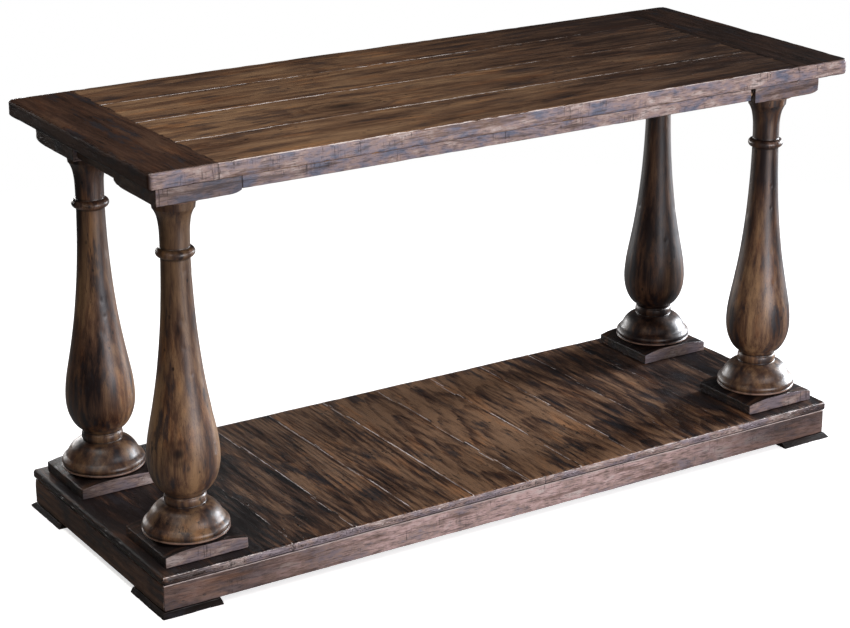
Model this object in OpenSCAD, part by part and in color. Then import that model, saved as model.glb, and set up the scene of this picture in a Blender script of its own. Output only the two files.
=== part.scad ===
// Console table: a plank top with breadboard ends on four turned legs, over a boarded shelf on a plinth.
// X runs along the length, Y from front to back and Z up. The origin is on the floor under the middle.

/* [Overall] */
// Length of the top
table_length = 1430; // [1400:5:1480]
// Depth of the top, front to back
table_depth = 560; // [550:5:600]
// Height of the top surface above the floor
table_height = 762; // [720:2:800]

/* [Top] */
// Thickness of the top
top_t = 30; // [28:1:34]
// Width of each breadboard end
breadboard_w = 124; // [110:1:135]
// Chamfer along the upper edges of the boards, which opens a V at each seam
seam_chamfer = 1.5; // [0.5:0.1:2.5]
// Width of the battens under the planks
batten_w = 50; // [40:1:70]
// Thickness of the battens under the planks
batten_t = 25; // [18:1:30]

/* [Frame under the top] */
// Length of a corner block, along X
block_l = 154; // [140:1:160]
// Depth of a corner block, along Y
block_d = 158; // [140:1:160]
// Height of a corner block
block_h = 41; // [38:1:46]
// Height of the rails between the corner blocks
rail_h = 35; // [28:1:36]
// Thickness of those rails
rail_t = 22; // [18:1:28]
// Open gap between a long rail and the corner block at its right end
rail_gap = 7; // [1:0.5:10]

/* [Legs] */
// Distance from the middle to a leg's axis, along X
leg_x = 620; // [610:1:622]
// Distance from the middle to a leg's axis, along Y
leg_y = 165; // [158:1:170]
// Radius of the collar near the top of a leg
collar_r = 33.2; // [30:0.1:36]
// Radius of the disc at the head of a leg
head_r = 48.5; // [42:0.5:52]
// Side of the square block under a leg
leg_base_w = 154; // [150:1:160]
// Height of that block at its crown
leg_base_h = 26; // [22:1:32]

/* [Shelf and plinth] */
// Length of the shelf
shelf_length = 1432; // [1420:2:1440]
// Depth of the shelf
shelf_depth = 538; // [530:2:548]
// Thickness of the shelf boards
shelf_t = 18; // [16:1:22]
// Width of a shelf board: the last one is cut to fill the length
board_w = 120.3; // [119:0.1:124]
// Height of the plinth rails
plinth_h = 47; // [42:1:60]
// Thickness of the plinth rails
plinth_t = 25; // [20:1:30]
// How far the shelf stands out past the ends of the plinth
overhang_x = 2; // [1:0.5:6]
// How far the shelf stands out past the front and back of the plinth
overhang_y = 5; // [1:0.5:8]

/* [Feet] */
// Thickness of a foot pad
pad_t = 9; // [7:1:14]
// Length of a foot pad, along X
pad_l = 112; // [105:1:140]
// Depth of a foot pad, along Y
pad_d = 128; // [105:1:140]
// How far a pad flares out past the ends of the plinth
flare_x = 7; // [2:1:10]
// How far a pad flares out past the front and back of the plinth
flare_y = 11; // [4:1:14]

/* [Hidden] */
$fn = 48;

// Levels, from the floor up
plinth_z = pad_t;
shelf_z = plinth_z + plinth_h;
leg_base_z = shelf_z + shelf_t;
leg_z = leg_base_z + leg_base_h;
top_z = table_height - top_t;
block_z = top_z - block_h;
rail_z = top_z - rail_h;
leg_h = block_z - leg_z;

// The planks' widths, from front to back, as shares of the depth
plank_shares = [0.253, 0.263, 0.253, 0.231];
plank_length = table_length - 2 * breadboard_w;
// Share of a board's thickness that its tongue takes, and how far the tongue reaches into its groove
tongue_share = 0.3;
tongue_reach = 9;
// Bare shoulder beside the stub tongue on each end of a plank
tongue_shoulder = 12;
// Air round a tongue, a dowel, a bolt or a screw
joint_air = 0.2;
// Spacing of the battens
batten_pitch = 350;

// Middle of a corner block, and where the rails' outer faces lie
block_x = leg_x - 13;
block_y = leg_y - 8;
// Rounding of its lower edge: how high, and how long at its right end and at its back
block_round_rise = 8;
block_end_run = 22;
block_back_run = 40;
long_rail_y = block_y + block_d / 2 - 2;
end_rail_x = block_x + block_l / 2 - 6;
long_rail_l = 2 * block_x - block_l;
end_rail_l = 2 * block_y - block_d;

// Plinth
plinth_length = shelf_length - 2 * overhang_x;
plinth_depth = shelf_depth - 2 * overhang_y;
plinth_chamfer = 4;
nose_top_r = 4;
nose_low_r = 7;
board_count = 12;
bearer_y = 85;
bearer_w = 45;
bearer_t = 22;
plinth_block_w = 110;
plinth_block_h = 30;

// Top of the leg's square base: how far its crown falls away towards each end, and over what length
shoulder_run = 54;
shoulder_fall = 7;

// Fastenings
bolt_r = 4;
bolt_in_leg = 45;
washer_r = 12;
washer_t = 1.6;
nut_across = 13;
nut_t = 6.5;
nut_well_r = 14;
nut_well_z = block_z + 20;
bolt_end = 4.5;
screw_r = 2;
screw_head_r = 4.2;
screw_head_h = 2.6;
screw_in_top = 16;
screw_in_shelf = 12;
screw_in_plinth = 22;
head_sunk = 1;
// Distances of the foot screws and the block screws from a corner and from a block's middle
foot_screw_runs = [45, 88];
block_screw_x = 50;
block_screw_y = 52;
dowel_r = 4;
dowel_l = 44;

// Colours
top_color = [0.33, 0.22, 0.15];
end_color = [0.25, 0.17, 0.12];
leg_color = [0.36, 0.24, 0.14];
shelf_color = [0.22, 0.15, 0.11];
plinth_color = [0.34, 0.24, 0.19];
inner_color = [0.55, 0.42, 0.28];
pad_color = [0.08, 0.07, 0.07];
steel_color = [0.62, 0.62, 0.60];

// ---- Outlines ----

// Points along an arc of an ellipse, from angle a0 to a1
function arc(cx, cy, rx, ry, a0, a1, steps = 6) = [
    for (k = [0:steps])
        let (a = a0 + (a1 - a0) * k / steps)
            [cx + rx * cos(a), cy + ry * sin(a)]
];

// One span of a smooth curve, from b to c, with a and d as its neighbours
function span(a, b, c, d, t) =
    0.5 * (2 * b + (c - a) * t + (2 * a - 5 * b + 4 * c - d) * t * t + (3 * b - a - 3 * c + d) * t * t * t);

// A smooth curve through the points, its last point included
function smooth(p, steps = 4) = concat(
    [
        for (i = [0:len(p) - 2], k = [0:steps - 1])
            span(p[max(i - 1, 0)], p[i], p[i + 1], p[min(i + 2, len(p) - 1)], k / steps)
    ],
    [p[len(p) - 1]]
);

// A half-round bead of radius r standing on a neck, centred at height h
function bead(neck, h, rx, ry, steps = 10) = arc(neck, h, rx, ry, -90, 90, steps);

// Draws a YZ outline along X, centred
module along_x(length) {
    translate([-length / 2, 0, 0]) rotate([90, 0, 90]) linear_extrude(length) children();
}

// Draws an XZ outline along Y, centred
module along_y(length) {
    translate([0, length / 2, 0]) rotate([90, 0, 0]) linear_extrude(length) children();
}

// Section of a board of width w and thickness t, with a groove in its low edge and a tongue on its high edge
module board_outline(w, t, groove = false, tongue = false) {
    c = seam_chamfer;
    tongue_t = t * tongue_share;
    tongue_low = (t - tongue_t) / 2;
    difference() {
        union() {
            polygon([[0, 0], [w, 0], [w, t - c], [w - c, t], [c, t], [0, t - c]]);
            if (tongue)
                translate([w - 1, tongue_low]) square([1 + tongue_reach, tongue_t]);
        }
        if (groove)
            translate([-1, tongue_low - joint_air])
                square([1 + tongue_reach + 2 * joint_air, tongue_t + 2 * joint_air]);
    }
}

// ---- Fastenings ----

// Wood screw that points up, with a cross recess in its countersunk head
module screw(length) {
    recess = 2.2 * screw_r;
    difference() {
        union() {
            cylinder(h = length - 2 * screw_r, r = screw_r, $fn = 24);
            translate([0, 0, length - 2 * screw_r]) cylinder(h = 2 * screw_r, r1 = screw_r, r2 = 0.3, $fn = 24);
            cylinder(h = screw_head_h, r1 = screw_head_r, r2 = screw_r, $fn = 24);
        }
        for (a = [0, 90])
            rotate([0, 0, a]) translate([-recess / 2, -0.4, -1]) cube([recess, 0.8, 2]);
    }
}

// The hole that a screw of that length sits in
module screw_hole(length) {
    cylinder(h = length + 1, r = screw_r + joint_air, $fn = 24);
    cylinder(h = screw_head_h, r1 = screw_head_r + joint_air, r2 = screw_r + joint_air, $fn = 24);
    translate([0, 0, -head_sunk - 1]) cylinder(h = head_sunk + 1, r = screw_head_r + joint_air, $fn = 24);
}

function plank_front(i) = i == 0 ? -table_depth / 2 : plank_front(i - 1) + plank_w(i - 1);
function plank_w(i) = plank_shares[i] * table_depth;

// Places of the screws that hold the top: one into each plank through each batten
module at_batten_screws() {
    for (b = [-1:1], i = [0:3])
        translate([b * batten_pitch, plank_front(i) + plank_w(i) / 2, top_z - batten_t + head_sunk])
            children();
}

// Places of the other screws that hold the top: two through each corner block
module at_block_screws() {
    for (sx = [-1, 1], sy = [-1, 1], k = [-1, 1])
        translate([sx * block_x + k * block_screw_x, sy * block_y + k * block_screw_y, block_z + head_sunk])
            children();
}

module top_screw_holes() {
    at_batten_screws() screw_hole(batten_t - head_sunk + screw_in_top);
    at_block_screws() screw_hole(block_h - head_sunk + screw_in_top);
}

module at_shelf_screws() {
    for (i = [0:board_count - 1], sy = [-1, 1])
        translate([board_front(i) + board_width(i) / 2, sy * bearer_y, shelf_z - bearer_t + head_sunk])
            children();
}

// Places of the screws up through the foot pads, two into each plinth rail
module at_foot_screws() {
    for (sx = [-1, 1], sy = [-1, 1], run = foot_screw_runs) {
        translate([sx * (plinth_length / 2 - run), sy * (plinth_depth - plinth_t) / 2, head_sunk])
            children();
        translate([sx * (plinth_length - plinth_t) / 2, sy * (plinth_depth / 2 - run), head_sunk])
            children();
    }
}

// Bolt holes on all four leg axes, from height low to height high
module bolt_holes(low, high) {
    for (sx = [-1, 1], sy = [-1, 1])
        translate([sx * leg_x, sy * leg_y, low]) cylinder(h = high - low, r = bolt_r + joint_air);
}

// Dowels across the joints between the rails and the corner blocks, grown by extra
module dowels(extra = 0) {
    h = dowel_l + 2 * extra;
    for (sx = [-1, 1], sy = [-1, 1], dz = [0.28, 0.72]) {
        z = rail_z + dz * rail_h;
        translate([sx * long_rail_l / 2 - h / 2, sy * (long_rail_y - rail_t / 2), z])
            rotate([0, 90, 0]) cylinder(h = h, r = dowel_r + extra, $fn = 24);
        translate([sx * (end_rail_x - rail_t / 2), sy * end_rail_l / 2 + h / 2, z])
            rotate([90, 0, 0]) cylinder(h = h, r = dowel_r + extra, $fn = 24);
    }
}

// ---- Top ----

module top_plank(i) {
    mid_z = top_z + top_t / 2;
    tongue_t = top_t * tongue_share;
    color(top_color)
        difference() {
            union() {
                along_x(plank_length)
                    translate([plank_front(i), top_z])
                        board_outline(plank_w(i), top_t, groove = i > 0, tongue = i < 3);
                translate([
                    -plank_length / 2 - tongue_reach,
                    plank_front(i) + tongue_shoulder,
                    mid_z - tongue_t / 2
                ])
                    cube([plank_length + 2 * tongue_reach, plank_w(i) - 2 * tongue_shoulder, tongue_t]);
            }
            top_screw_holes();
        }
}

// Board across the ends of the planks, with a stopped groove for their tongues
module breadboard(side) {
    inner_x = plank_length / 2;
    groove_t = top_t * tongue_share + 2 * joint_air;
    groove_d = table_depth - 2 * tongue_shoulder + 2;
    color(end_color)
        difference() {
            along_y(table_depth)
                translate([side > 0 ? inner_x : -inner_x - breadboard_w, top_z])
                    board_outline(breadboard_w, top_t);
            translate([
                side > 0 ? inner_x - 1 : -inner_x - tongue_reach - 2 * joint_air,
                -groove_d / 2,
                top_z + top_t / 2 - groove_t / 2
            ])
                cube([tongue_reach + 1 + 2 * joint_air, groove_d, groove_t]);
            top_screw_holes();
        }
}

module top_batten(place) {
    depth = 2 * (long_rail_y - rail_t);
    color(inner_color)
        difference() {
            translate([place * batten_pitch - batten_w / 2, -depth / 2, top_z - batten_t])
                cube([batten_w, depth, batten_t]);
            top_screw_holes();
        }
}

// ---- Frame under the top ----

// Long rail: tight against the left block and a gap short of the right one
module long_rail(side) {
    color(plinth_color)
        difference() {
            translate([-long_rail_l / 2, side > 0 ? long_rail_y - rail_t : -long_rail_y, rail_z])
                cube([long_rail_l - rail_gap, rail_t, rail_h]);
            dowels(joint_air);
        }
}

module end_rail(side) {
    color(end_color)
        difference() {
            translate([side > 0 ? end_rail_x - rail_t : -end_rail_x, -end_rail_l / 2, rail_z])
                cube([rail_t, end_rail_l, rail_h]);
            dowels(joint_air);
        }
}

// Outline of a corner block of width w: only the far lower edge is rounded, over a length of run
module block_outline(w, run) {
    polygon(concat(
        [[w / 2, top_z], [-w / 2, top_z], [-w / 2, block_z]],
        arc(w / 2 - run, block_z + block_round_rise, run, block_round_rise, -90, 0)
    ));
}

// All four corner blocks are alike and face the same way
module corner_block(sx, sy) {
    color(plinth_color)
        difference() {
            translate([sx * block_x, sy * block_y, 0])
                intersection() {
                    along_y(block_d) block_outline(block_l, block_end_run);
                    along_x(block_l) block_outline(block_d, block_back_run);
                }
            bolt_holes(block_z - 1, nut_well_z + 1);
            translate([sx * leg_x, sy * leg_y, nut_well_z]) cylinder(h = block_h, r = nut_well_r);
            dowels(joint_air);
            top_screw_holes();
        }
}

// ---- Legs ----

// Half outline of the turned leg, foot at height 0. The vase is set out for a leg 591 high.
leg_nominal_h = 591;
neck_r = 25.3;
function vase() = smooth([
    [34, 68], [38.5, 73], [46, 80], [52.5, 90], [57.5, 102], [60.7, 116], [61.8, 132],
    [61, 150], [58.6, 170], [54.6, 192], [49.6, 218], [44, 250], [38.6, 286], [34.2, 324],
    [30.6, 362], [28, 400], [26.3, 436], [neck_r, 474]
]);
function base_turning() = concat(
    [[0, 0], [70, 0], [72.5, 1.5]],
    bead(72.5, 4, 2.2, 2.5, 6),
    [[73, 7]],
    smooth([
        [73, 7], [74.6, 11], [73.4, 15.5], [70, 19.5], [66.4, 23], [63.6, 27.5],
        [60.6, 33], [56, 39.5], [49.5, 45.5], [41, 50]
    ]),
    [[35, 52]],
    bead(35, 59, 2, 7, 6)
);
function head_turning() = concat(
    bead(neck_r, leg_collar_h, collar_r - neck_r, 8),
    smooth([[neck_r, 500], [25.5, 524], [26.4, 537], [28.6, 550], [31.4, 558], [34.5, 564]]),
    [[35.6, 565], [37.5, 581], [head_r - 1, 581.5], [head_r, 583], [head_r, leg_nominal_h]],
    [[0, leg_nominal_h]]
);
leg_collar_h = 490;
leg_stretch = leg_h / leg_nominal_h;
leg_points = [
    for (p = concat(base_turning(), vase(), head_turning())) [p[0], p[1] * leg_stretch]
];

module leg(sx, sy) {
    color(leg_color)
        difference() {
            translate([sx * leg_x, sy * leg_y, leg_z]) rotate_extrude($fn = 96) polygon(leg_points);
            bolt_holes(leg_z - 1, leg_z + bolt_in_leg);
            bolt_holes(block_z - bolt_in_leg, block_z + 1);
        }
}

// One shoulder of a leg base's crown, out to the end on side 1 or -1, as a parabola
function shoulder(side, steps = 8) = [
    for (k = [0:steps])
        let (t = k / steps)
            [side * (leg_base_w / 2 - shoulder_run * (1 - t)), leg_z - shoulder_fall * t * t]
];

// Square block under a leg, with its crown falling away towards both ends
module leg_base(sx, sy) {
    right = shoulder(1);
    left = shoulder(-1);
    color(shelf_color)
        difference() {
            translate([sx * leg_x, sy * leg_y, 0])
                along_y(leg_base_w)
                    polygon(concat(
                        [[-leg_base_w / 2, leg_base_z], [leg_base_w / 2, leg_base_z]],
                        [for (k = [len(right) - 1:-1:0]) right[k]],
                        left
                    ));
            bolt_holes(leg_base_z - 1, leg_z + 1);
        }
}

// ---- Shelf ----

function board_front(i) = i * board_w - shelf_length / 2;
function board_width(i) = i < board_count - 1 ? board_w : shelf_length - i * board_w;

// Section of the whole shelf over a width w, with rounded outer edges
module shelf_outline(w) {
    a = nose_low_r;
    b = nose_top_r;
    polygon(concat(
        arc(w / 2 - a, shelf_z + a, a, a, -90, 0),
        arc(w / 2 - b, leg_base_z - b, b, b, 0, 90),
        arc(b - w / 2, leg_base_z - b, b, b, 90, 180),
        arc(a - w / 2, shelf_z + a, a, a, 180, 270)
    ));
}

module shelf_board(i) {
    color(shelf_color)
        difference() {
            intersection() {
                along_y(shelf_depth)
                    translate([board_front(i), shelf_z])
                        board_outline(
                            board_width(i), shelf_t,
                            groove = i > 0, tongue = i < board_count - 1
                        );
                along_x(2 * shelf_length) shelf_outline(shelf_depth);
                along_y(2 * shelf_depth) shelf_outline(shelf_length);
            }
            bolt_holes(shelf_z - 1, leg_base_z + 1);
            at_shelf_screws() screw_hole(bearer_t - head_sunk + screw_in_shelf);
        }
}

module shelf_bearer(side) {
    length = plinth_length - 2 * plinth_t;
    color(inner_color)
        difference() {
            translate([-length / 2, side * bearer_y - bearer_w / 2, shelf_z - bearer_t])
                cube([length, bearer_w, bearer_t]);
            at_shelf_screws() screw_hole(bearer_t - head_sunk + screw_in_shelf);
        }
}

// ---- Plinth ----

// Mitred rail, drawn as the front one: length along X, outer face at y = -out
module plinth_rail(length, out) {
    intersection() {
        along_x(length)
            translate([-out, plinth_z])
                polygon([
                    [0, 0], [plinth_t, 0], [plinth_t, plinth_h],
                    [plinth_chamfer, plinth_h], [0, plinth_h - plinth_chamfer]
                ]);
        linear_extrude(shelf_z + 1)
            polygon([
                [-length / 2, -out], [length / 2, -out],
                [length / 2 - plinth_t, plinth_t - out], [plinth_t - length / 2, plinth_t - out]
            ]);
    }
}

module plinth_long(turn) {
    color(plinth_color)
        difference() {
            rotate([0, 0, turn]) plinth_rail(plinth_length, plinth_depth / 2);
            at_foot_screws() screw_hole(pad_t - head_sunk + screw_in_plinth);
        }
}

module plinth_end(turn) {
    color(plinth_color)
        difference() {
            rotate([0, 0, turn]) plinth_rail(plinth_depth, plinth_length / 2);
            at_foot_screws() screw_hole(pad_t - head_sunk + screw_in_plinth);
        }
}

// Block inside a corner of the plinth, which the leg bolt pulls up against
module plinth_block(sx, sy) {
    x = sx * (plinth_length / 2 - plinth_t - plinth_block_w / 2);
    y = sy * (plinth_depth / 2 - plinth_t - plinth_block_w / 2);
    color(inner_color)
        difference() {
            translate([x - plinth_block_w / 2, y - plinth_block_w / 2, shelf_z - plinth_block_h])
                cube([plinth_block_w, plinth_block_w, plinth_block_h]);
            bolt_holes(shelf_z - plinth_block_h - 1, shelf_z + 1);
        }
}

// ---- Feet ----

// Section of a pad of that width, whose outer side slopes out from the plinth's face by flare
module pad_outline(face, flare, w) {
    toe = 1.5;
    polygon([
        [face + flare - w, 0], [face + flare, 0], [face + flare, toe],
        [face + 1, pad_t], [face + flare - w, pad_t]
    ]);
}

module foot_pad(sx, sy) {
    color(pad_color)
        difference() {
            intersection() {
                mirror([sx < 0 ? 1 : 0, 0, 0])
                    along_y(2 * table_depth) pad_outline(plinth_length / 2, flare_x, pad_l);
                mirror([0, sy < 0 ? 1 : 0, 0])
                    along_x(2 * table_length) pad_outline(plinth_depth / 2, flare_y, pad_d);
            }
            at_foot_screws() screw_hole(pad_t - head_sunk + screw_in_plinth);
        }
}

// ---- Groups of fastenings ----

module leg_bolts() {
    low_tip = shelf_z - plinth_block_h - washer_t - nut_t - bolt_end;
    high_tip = nut_well_z + washer_t + nut_t + bolt_end;
    color(steel_color)
        for (sx = [-1, 1], sy = [-1, 1])
            translate([sx * leg_x, sy * leg_y, 0]) {
                translate([0, 0, low_tip]) cylinder(h = leg_z + bolt_in_leg - 1 - low_tip, r = bolt_r);
                translate([0, 0, block_z - bolt_in_leg + 1])
                    cylinder(h = high_tip - block_z + bolt_in_leg - 1, r = bolt_r);
            }
}

module ring(low, h, outer, sides = 48) {
    for (sx = [-1, 1], sy = [-1, 1])
        translate([sx * leg_x, sy * leg_y, low])
            difference() {
                cylinder(h = h, r = outer, $fn = sides);
                translate([0, 0, -1]) cylinder(h = h + 2, r = bolt_r + joint_air);
            }
}

module leg_washers() {
    color(steel_color) {
        ring(shelf_z - plinth_block_h - washer_t, washer_t, washer_r);
        ring(nut_well_z, washer_t, washer_r);
    }
}

module leg_nuts() {
    corner_r = nut_across / 2 / cos(30);
    color(steel_color) {
        ring(shelf_z - plinth_block_h - washer_t - nut_t, nut_t, corner_r, 6);
        ring(nut_well_z + washer_t, nut_t, corner_r, 6);
    }
}

module rail_dowels() {
    color(inner_color) dowels();
}

module top_screws() {
    color(steel_color) {
        at_batten_screws() screw(batten_t - head_sunk + screw_in_top);
        at_block_screws() screw(block_h - head_sunk + screw_in_top);
    }
}

module shelf_screws() {
    color(steel_color) at_shelf_screws() screw(bearer_t - head_sunk + screw_in_shelf);
}

module foot_screws() {
    color(steel_color) at_foot_screws() screw(pad_t - head_sunk + screw_in_plinth);
}

top_plank(0);  // top_plank_1
top_plank(1);  // top_plank_2
top_plank(2);  // top_plank_3
top_plank(3);  // top_plank_4
breadboard(-1);  // breadboard_left
breadboard(1);  // breadboard_right
top_batten(-1);  // top_batten_left
top_batten(0);  // top_batten_middle
top_batten(1);  // top_batten_right
long_rail(-1);  // frame_rail_front
long_rail(1);  // frame_rail_back
end_rail(-1);  // frame_rail_left
end_rail(1);  // frame_rail_right
corner_block(-1, -1);  // corner_block_front_left
corner_block(1, -1);  // corner_block_front_right
corner_block(-1, 1);  // corner_block_back_left
corner_block(1, 1);  // corner_block_back_right
leg(-1, -1);  // leg_front_left
leg(1, -1);  // leg_front_right
leg(-1, 1);  // leg_back_left
leg(1, 1);  // leg_back_right
leg_base(-1, -1);  // leg_base_front_left
leg_base(1, -1);  // leg_base_front_right
leg_base(-1, 1);  // leg_base_back_left
leg_base(1, 1);  // leg_base_back_right
shelf_board(0);  // shelf_board_01
shelf_board(1);  // shelf_board_02
shelf_board(2);  // shelf_board_03
shelf_board(3);  // shelf_board_04
shelf_board(4);  // shelf_board_05
shelf_board(5);  // shelf_board_06
shelf_board(6);  // shelf_board_07
shelf_board(7);  // shelf_board_08
shelf_board(8);  // shelf_board_09
shelf_board(9);  // shelf_board_10
shelf_board(10);  // shelf_board_11
shelf_board(11);  // shelf_board_12
shelf_bearer(-1);  // shelf_bearer_front
shelf_bearer(1);  // shelf_bearer_back
plinth_long(0);  // plinth_front
plinth_long(180);  // plinth_back
plinth_end(-90);  // plinth_left
plinth_end(90);  // plinth_right
plinth_block(-1, -1);  // plinth_block_front_left
plinth_block(1, -1);  // plinth_block_front_right
plinth_block(-1, 1);  // plinth_block_back_left
plinth_block(1, 1);  // plinth_block_back_right
foot_pad(-1, -1);  // foot_pad_front_left
foot_pad(1, -1);  // foot_pad_front_right
foot_pad(-1, 1);  // foot_pad_back_left
foot_pad(1, 1);  // foot_pad_back_right
leg_bolts();
leg_washers();
leg_nuts();
rail_dowels();
top_screws();
shelf_screws();
foot_screws();
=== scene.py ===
"""Looks of the console table: worn, waxed dark boards and turned legs, on a pale studio floor.

Each visible board, block, rail, pad and leg is built again as a fine mesh in the place of its CAD node, with
eased and chipped arrises, dents and saw marks. The parts inside keep their CAD shape. Lengths are in metres.

The wood materials read these mesh attributes:
- grain, a place in the timber that the piece was cut from
- wear_and_highlight, how much it is worn pale, partly a painted highlight on its arrises and beads
- sawn, how much of the saw it shows
- seam, how far it is from a pale seam between boards, partly worn and partly a painted highlight
- wax_stain_and_shade, how much dark wax or stain lies on it, and how much painted shade
- tone, how light its wood is, which on some pieces also holds painted light and painted shade
"""

import math
import bpy
import numpy as np
from mathutils import Matrix, Vector

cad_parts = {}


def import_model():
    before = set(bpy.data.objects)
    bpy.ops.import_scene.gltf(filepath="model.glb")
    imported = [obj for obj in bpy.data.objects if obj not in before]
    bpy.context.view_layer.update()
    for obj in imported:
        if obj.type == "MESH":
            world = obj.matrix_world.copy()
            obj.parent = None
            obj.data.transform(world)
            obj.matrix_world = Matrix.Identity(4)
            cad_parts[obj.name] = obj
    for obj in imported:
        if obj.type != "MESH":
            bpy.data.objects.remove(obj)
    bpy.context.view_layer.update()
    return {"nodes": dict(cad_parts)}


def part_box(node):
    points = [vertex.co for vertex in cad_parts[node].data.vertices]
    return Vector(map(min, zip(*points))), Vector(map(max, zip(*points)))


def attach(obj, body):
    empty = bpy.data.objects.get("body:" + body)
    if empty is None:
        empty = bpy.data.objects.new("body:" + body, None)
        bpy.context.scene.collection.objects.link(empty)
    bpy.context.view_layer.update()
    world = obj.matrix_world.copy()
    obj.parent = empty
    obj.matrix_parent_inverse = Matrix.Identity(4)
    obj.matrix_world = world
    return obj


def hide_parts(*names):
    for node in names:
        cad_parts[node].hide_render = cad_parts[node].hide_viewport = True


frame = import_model()
seeds = {name: 100 + 17 * k for k, name in enumerate(sorted(frame["nodes"]))}
MM = 0.001
# What "seam" says where no pale seam is near
FAR = 50 * MM


# ---- Noise ----

def lattice(cell, seed):
    """A repeatable number from 0 to 1 for each whole-number cell."""
    # Large odd multipliers scatter the bits
    c = cell.astype(np.int64).astype(np.uint32)
    h = c[:, 0] * np.uint32(73856093) ^ c[:, 1] * np.uint32(19349663) ^ c[:, 2] * np.uint32(83492791)
    h ^= np.uint32(seed * 2654435 % 4294967296)
    h = (h ^ (h >> np.uint32(13))) * np.uint32(1274126177)
    h = (h ^ (h >> np.uint32(15))) * np.uint32(2246822519)
    return (h ^ (h >> np.uint32(16))) / 4294967296.0


def noise(p, seed):
    """Smooth noise from -1 to 1, with features about one unit across."""
    base = np.floor(p)
    t = p - base
    t = t * t * (3 - 2 * t)
    total = np.zeros(len(p))
    for corner in np.ndindex(2, 2, 2):
        c = np.array(corner)
        weight = np.prod(np.where(c == 1, t, 1 - t), axis=1)
        total += weight * lattice(base + c, seed)
    return 2 * total - 1


def layered(p, seed):
    """Noise with two finer and fainter layers over it, from -1 to 1."""
    return sum(noise(p * 2.0**k, seed + 31 * k) / 2.0**k for k in range(3)) / 1.75


def ramp(x, low, high):
    """0 below low, 1 above high, smooth in between."""
    t = np.clip((x - low) / (high - low), 0, 1)
    return t * t * (3 - 2 * t)


# ---- Meshes ----

def lines(low, high, step, ease):
    """Grid lines along one side of a board: close together over the eased ends, even in between."""
    ends = ease * np.array([0, 0.1, 0.25, 0.45, 0.7, 1.0, 1.4])
    count = max(2, round((high - low - 2 * ends[-1]) / step))
    middle = np.linspace(low + ends[-1], high - ends[-1], count + 1)[1:-1]
    return np.concatenate([low + ends, middle, high - ends[::-1]])


def box_grid(xs, ys, zs):
    """Points and quads of a closed box whose sides are split along those lines."""
    shape = (len(xs), len(ys), len(zs))
    index = np.indices(shape)
    last = np.array(shape).reshape(3, 1, 1, 1) - 1
    outside = ((index == 0) | (index == last)).any(axis=0)
    number = np.full(shape, -1)
    number[outside] = np.arange(outside.sum())
    points = np.stack([xs[index[0][outside]], ys[index[1][outside]], zs[index[2][outside]]], axis=1)
    quads = []
    for axis in range(3):
        for side in (0, -1):
            a = number.take(side, axis=axis)
            q = np.stack([a[:-1, :-1], a[1:, :-1], a[1:, 1:], a[:-1, 1:]], axis=-1).reshape(-1, 4)
            quads.append(q[:, ::-1] if (side == 0) != (axis == 1) else q)
    return points, np.concatenate(quads)


def write_attributes(mesh, attributes):
    """Gives a mesh one number or one vector a point, for each name."""
    for key, values in attributes.items():
        kind, field = ("FLOAT_VECTOR", "vector") if values.ndim == 2 else ("FLOAT", "value")
        mesh.attributes.new(key, kind, "POINT").data.foreach_set(field, values.astype(np.float32).ravel())


def make(name, points, quads, attributes, material, node):
    """A smooth piece from points and quads, which stands for a CAD node."""
    mesh = bpy.data.meshes.new(name)
    mesh.from_pydata(points.tolist(), [], quads.tolist())
    mesh.shade_smooth()
    write_attributes(mesh, attributes)
    mesh.materials.append(material)
    piece = bpy.data.objects.new(name, mesh)
    bpy.context.scene.collection.objects.link(piece)
    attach(piece, "root")
    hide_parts(node)
    return piece


def timber(points, along, seed):
    """Places in the timber that the piece was cut from: first along the grain, then across, then deep."""
    order = {"x": [0, 1, 2], "y": [1, 0, 2], "z": [2, 0, 1]}[along]
    spread = [8, 50 * MM, 20 * MM]
    from_pith = [0, 0, 60 * MM]
    rng = np.random.default_rng(seed)
    shift = rng.uniform(-1, 1, 3) * spread + from_pith
    return points[:, order] - points[:, order].mean(axis=0) + shift


def dents(points, seed, count, radius, depth, stretch):
    """How deep inward marks at random places are: stretch makes them longer along X, Y or Z."""
    rng = np.random.default_rng(seed)
    pull = np.zeros(len(points))
    for _ in range(count):
        centre = points[rng.integers(len(points))]
        size = radius * rng.uniform(0.5, 1.5) * np.array(stretch)
        away = (((points - centre) / size) ** 2).sum(axis=1)
        pull = np.maximum(pull, depth * rng.uniform(0.3, 1) * np.exp(-away))
    return pull


# How far dark wax spreads from a joint between boards, and from the end of a board
JOINT_REACH = 4.5 * MM
END_REACH = 3 * MM
# How much thinner a pale seam gets as its strength goes to 0, and as painted shade darkens the wood to the
# right
FAINT_SEAM = 4 * MM
SHADED_SEAM = 3 * MM
# How deep the waves, the fine unevenness, the dents, the chips and the saw marks of a board are
WAVE_DEPTH = 0.35 * MM
FINE_DEPTH = 0.12 * MM
DENT_DEPTH = 0.7 * MM
CHIP_DEPTH = 1.5 * MM
SAW_DEPTH = 0.3 * MM
DENT_SIZE = 4 * MM
# How far from an arris it is worn pale and given a painted highlight, and how little an arris is rounded
# where it is sharpest
PALE_ARRIS_REACH = 2.6 * MM
SHARPEST = 0.3 * MM
# Where along X painted shade darkens the wood towards the right end of the table
RIGHT_SHADE_REACH = (-0.10, 0.50)


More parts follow.
